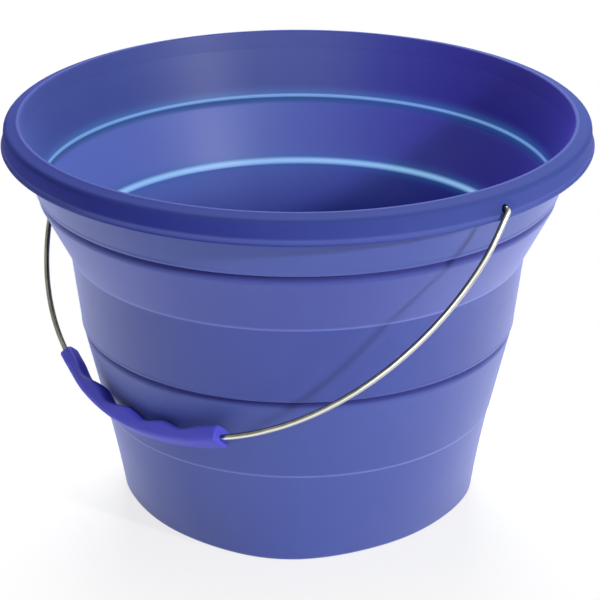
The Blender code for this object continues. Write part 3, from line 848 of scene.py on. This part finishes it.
def plastic(name, look, glows=False):
    # satin moulded plastic: slow colour drift, faint flow lines, fine grain, small nicks; painted shade, highlights
    # and glow where the look asks for them
    p = Finish(name)
    s = grainLook
    drift = p.noise(*s["drift"])
    flow = p.noise(*s["flow"], stretch=s["flowStretch"])
    mottle = p.band(drift * s["mottleDrift"] + flow * s["mottleFlow"], *s["mottleBand"])
    grooveRoughness = 0.0
    if look.get("edges"):
        colour = rimColour(p, look, drift, mottle)
    else:
        colour = nicked(p, p.mix(mottle, look["deep"], look["base"]))
    if look.get("folds"):
        colour, grooveRoughness = foldColour(p, colour, drift)
    scuff = p.band(p.noise(*s["scuff"], stretch=s["scuffStretch"]), *s["scuffBand"])
    rough = look["roughness"] + (drift - 0.5) * s["roughDrift"] + scuff * s["roughScuff"] + grooveRoughness
    relief = p.noise(*s["grain"]) * s["reliefGrain"] + flow * s["reliefFlow"]
    normal = p.bump(relief, s["reliefDepth"], s["reliefShare"])
    normal = p.bump(p.noise(*s["wave"]), s["waveDepth"], s["waveShare"], normal)
    p.set(color=colour, roughness=rough, normal=normal, ior=s["ior"], specular=look["specular"])
    if glows:
        glowing(p, colour)
    elif look.get("sheen"):
        p.set(sheen=s["sheen"], sheenRoughness=s["sheenRoughness"], sheenTint=s["sheenTint"])
    return p.material


steelLook = {
    "deep": (0.15, 0.15, 0.11), "base": (0.24, 0.24, 0.19), "dull": (90.0, 4.0, 0.6), "dullBand": (0.35, 0.70),
    "shadeStreakColour": (0.06, 0.06, 0.05), "insideBand": (-0.35, -0.72), "insideWander": 0.25,
    "insideLeast": 0.35, "rightBand": (-0.06, 0.02),
    "highlightStreakColour": (0.86, 0.86, 0.82), "streakAt": 0.78, "streakReach": 0.40, "streakWander": 0.2,
    "roughness": 0.16, "dullRoughness": 0.08, "marks": (900.0, 2.0, 0.5), "markDepth": 0.00003, "markShare": 0.5,
}


def steel():
    # drawn wire: dull in places, with a painted highlight streak along its outside and a painted shade streak along
    # its inside, stronger where x is positive
    p = Finish("drawnSteel")
    s = steelLook
    dull = p.noise(*s["dull"])
    out = p.node("ShaderNodeAttribute", {"attribute_name": "around"}, outputName="Fac")
    colour = p.mix(p.band(dull, *s["dullBand"]), s["deep"], s["base"])
    # painted shade along the inside of the wire, stronger where x is positive
    shadeStreak = p.band(out + (dull - 0.5) * s["insideWander"], *s["insideBand"])
    shadeStreak = shadeStreak * (s["insideLeast"] + (1.0 - s["insideLeast"]) * p.band(p.x, *s["rightBand"]))
    colour = p.mix(shadeStreak, colour, s["shadeStreakColour"])
    # a painted highlight along the outside of the wire
    highlightStreak = p.peak(out + (dull - 0.5) * s["streakWander"], s["streakAt"], s["streakReach"])
    colour = p.mix(highlightStreak, colour, s["highlightStreakColour"])
    rough = s["roughness"] + dull * s["dullRoughness"]
    normal = p.bump(p.noise(*s["marks"]), s["markDepth"], s["markShare"])
    p.set(color=colour, metallic=1.0, roughness=rough, normal=normal)
    return p.material


def finishInside(piece, finish, below=None):
    # faces that look towards the axis take the inner finish; on the rim, those of its inner wall below a height
    faces = piece.data.polygons
    centre, facing = np.empty(len(faces) * 3), np.empty(len(faces) * 3)
    faces.foreach_get("center", centre)
    faces.foreach_get("normal", facing)
    centre, facing = centre.reshape(-1, 3), facing.reshape(-1, 3)
    if below is None:
        inside = np.einsum("ij,ij->i", centre[:, :2], facing[:, :2]) < 0.0
    else:
        inside = np.hypot(centre[:, 0], centre[:, 1]) < collarInner(centre[:, 2]) + wall["innerSkin"]
        inside &= centre[:, 2] < below
    piece.data.materials.append(finish)
    faces.foreach_set("material_index", inside.astype(np.int32))
    piece.data.update()
    print(piece.name, "inner faces:", int(inside.sum()), "of", len(faces))


# Stage, camera and light

white = (1.0, 1.0, 1.0)
stageShape = {
    "floorRadius": 6.0, "firstRing": 0.1, "rings": 5, "columns": 96, "top": -0.0002, "thick": 0.01,
    "colour": (0.90, 0.90, 0.91), "roughness": 0.6, "specular": 0.2,
    "fadeBand": (0.10, 0.26), "shadowShare": 0.24,
}
cameraPlace = {
    "location": (0.91301, -0.76453, 0.6196), "pitchDeg": 66.70, "turnDeg": 50.0, "lens": 144.0, "sensor": 36.0,
    "farthest": 50.0,
}
# lamps aimed at the bucket: turn is to the right of the camera, rise is above the floor
lightPlan = {
    "key": {"turn": 45.0, "rise": 28.0, "away": 1.6, "size": 0.11, "power": 15.0},
    "front": {"turn": -10.0, "rise": 12.0, "away": 1.6, "size": 0.90, "power": 6.6},
    "back": {"turn": 180.0, "rise": 45.0, "away": 1.6, "size": 0.90, "power": 41.0},
}
# lamps close above the floor that look straight down at it, so that it sends light up under the wall
tablePlan = {
    "tableRight": {"turn": 95.0, "out": 0.44, "height": 0.28, "size": 0.20, "spreadDeg": 44.0, "power": 3.1},
    "tableLeft": {"turn": -95.0, "out": 0.44, "height": 0.28, "size": 0.20, "spreadDeg": 44.0, "power": 1.6},
}
worldPlan = {"turn": 90.0, "rise": 40.0, "slope": 0.95, "strength": 0.15}


def sideways(plan):
    # unit vector from the bucket, turned to the right of the camera and raised
    turn, rise = math.radians(cameraPlace["turnDeg"] + plan["turn"]), math.radians(plan["rise"])
    return (math.sin(turn) * math.cos(rise), -math.cos(turn) * math.cos(rise), math.sin(rise))


def whiteBackdrop():
    # camera, glossy and transmission rays see plain white; what lights the object is the softer world
    world = bpy.data.worlds.new("studio")
    bpy.context.scene.world = world
    p = Paint(world, "ShaderNodeOutputWorld")
    s = worldPlan
    facing = p.node("ShaderNodeTexCoord", outputName="Generated")
    towards = p.node("ShaderNodeVectorMath", {"operation": "DOT_PRODUCT"}, {0: facing, 1: sideways(s)}, "Value")
    light = p.node("ShaderNodeBackground", sockets={0: white, 1: s["strength"] * (1.0 + s["slope"] * towards)})
    plain = p.node("ShaderNodeBackground", sockets={0: white, 1: 1.0})
    p.show(p.node("ShaderNodeMixShader", sockets={0: p.seenDirectly(), 1: light, 2: plain}))


def makeFloor():
    # a wide slab: pale and shadow-catching near the bucket, fading to plain white further out
    s = stageShape
    angles = np.linspace(0.0, 2.0 * math.pi, s["columns"], endpoint=False)
    radii = np.geomspace(s["firstRing"], s["floorRadius"], s["rings"])
    radii = np.concatenate([[0.0], radii, [s["floorRadius"], 0.0]])
    heights = np.append(np.full(len(radii) - 2, s["top"]), [s["top"] - s["thick"]] * 2)
    floor = gridMesh("studioFloor", turnedGrid(np.stack([radii, heights], -1), angles))
    p = Finish("floorWhite")
    p.set(color=s["colour"], roughness=s["roughness"], specular=s["specular"])
    near = 1.0 - p.band(p.radius, *s["fadeBand"])
    plain = p.node("ShaderNodeEmission", sockets={0: white, 1: 1.0})
    share = p.seenDirectly() * (1.0 - s["shadowShare"] * near)
    p.show(p.node("ShaderNodeMixShader", sockets={0: share, 1: Sock(p, p.shader.outputs[0]), 2: plain}))
    floor.data.materials.append(p.material)


def makeCamera():
    s = cameraPlace
    data = bpy.data.cameras.new("studioCamera")
    data.lens = s["lens"]
    data.sensor_width = s["sensor"]
    data.clip_end = s["farthest"]
    camera = linked(bpy.data.objects.new("studioCamera", data))
    camera.location = s["location"]
    camera.rotation_euler = (math.radians(s["pitchDeg"]), 0.0, math.radians(s["turnDeg"]))
    bpy.context.scene.camera = camera


def squareLamp(name, plan):
    data = bpy.data.lights.new(name, "AREA")
    data.shape = "SQUARE"
    data.size = plan["size"]
    data.energy = plan["power"]
    return linked(bpy.data.objects.new(name, data))


def makeLamp(name, plan):
    lamp = squareLamp(name, plan)
    target = np.array([0.0, 0.0, bucketHeight / 2])
    lamp.location = target + np.array(sideways(plan)) * plan["away"]
    lamp.rotation_euler = (
        math.radians(90.0 - plan["rise"]), 0.0, math.radians(cameraPlace["turnDeg"] + plan["turn"]))


def makeTableLamp(name, plan):
    lamp = squareLamp(name, plan)
    lamp.data.spread = math.radians(plan["spreadDeg"])
    turn = math.radians(cameraPlace["turnDeg"] + plan["turn"])
    lamp.location = (math.sin(turn) * plan["out"], -math.cos(turn) * plan["out"], plan["height"])


# Everything together

bpy.context.scene.view_settings.view_transform = "Standard"
makeCamera()
whiteBackdrop()
makeFloor()
for lampName, plan in lightPlan.items():
    makeLamp(lampName, plan)
for lampName, plan in tablePlan.items():
    makeTableLamp(lampName, plan)
print("camera, floor and lamps placed")

pieces = {"rim": makeRim()}
collarTop = rimSeam - wall["seam"]
pieces["collar"] = makeRing(
    "collarShell", "rim", "collar_band", collarInner(collarTop) + wall["stiff"] - wall["neck"],
    collarInner(collarTop), collarTop, collarRadius, collarLine)
pieces["upperWeb"] = makeWeb(
    "upperWebShell", collarRadius, collarLine, upperFoldRadius, upperFoldLine, "upper_fold_web")
pieces["band"] = makeRing(
    "bandShell", "middle", "middle_band", upperFoldRadius, upperFoldRadius - wall["stiff"], upperFoldLine,
    bandRadius, bandLine)
pieces["lowerWeb"] = makeWeb(
    "lowerWebShell", bandRadius, bandLine, lowerFoldRadius, lowerFoldLine, "lower_fold_web")
pieces["cup"] = makeCup()
print("bucket surfaces made")
wire = makeWire()
pieces["grip"] = makeGrip()
print("bail made, leaning", round(math.degrees(lean), 2), "degrees")

for key, piece in pieces.items():
    piece.data.materials.clear()
    piece.data.materials.append(plastic(key + "Plastic", plasticLook[key]))
markAround(wire)
wire.data.materials.clear()
wire.data.materials.append(steel())
inside = {key: plastic(key + "Inside", plasticLook[key], glows=True) for key in ("collar", "upperWeb", "band")}
for key, finish in inside.items():
    finishInside(pieces[key], finish)
finishInside(pieces["rim"], inside["collar"], edgeHeight + rimShape["innerTop"])
print("materials made")
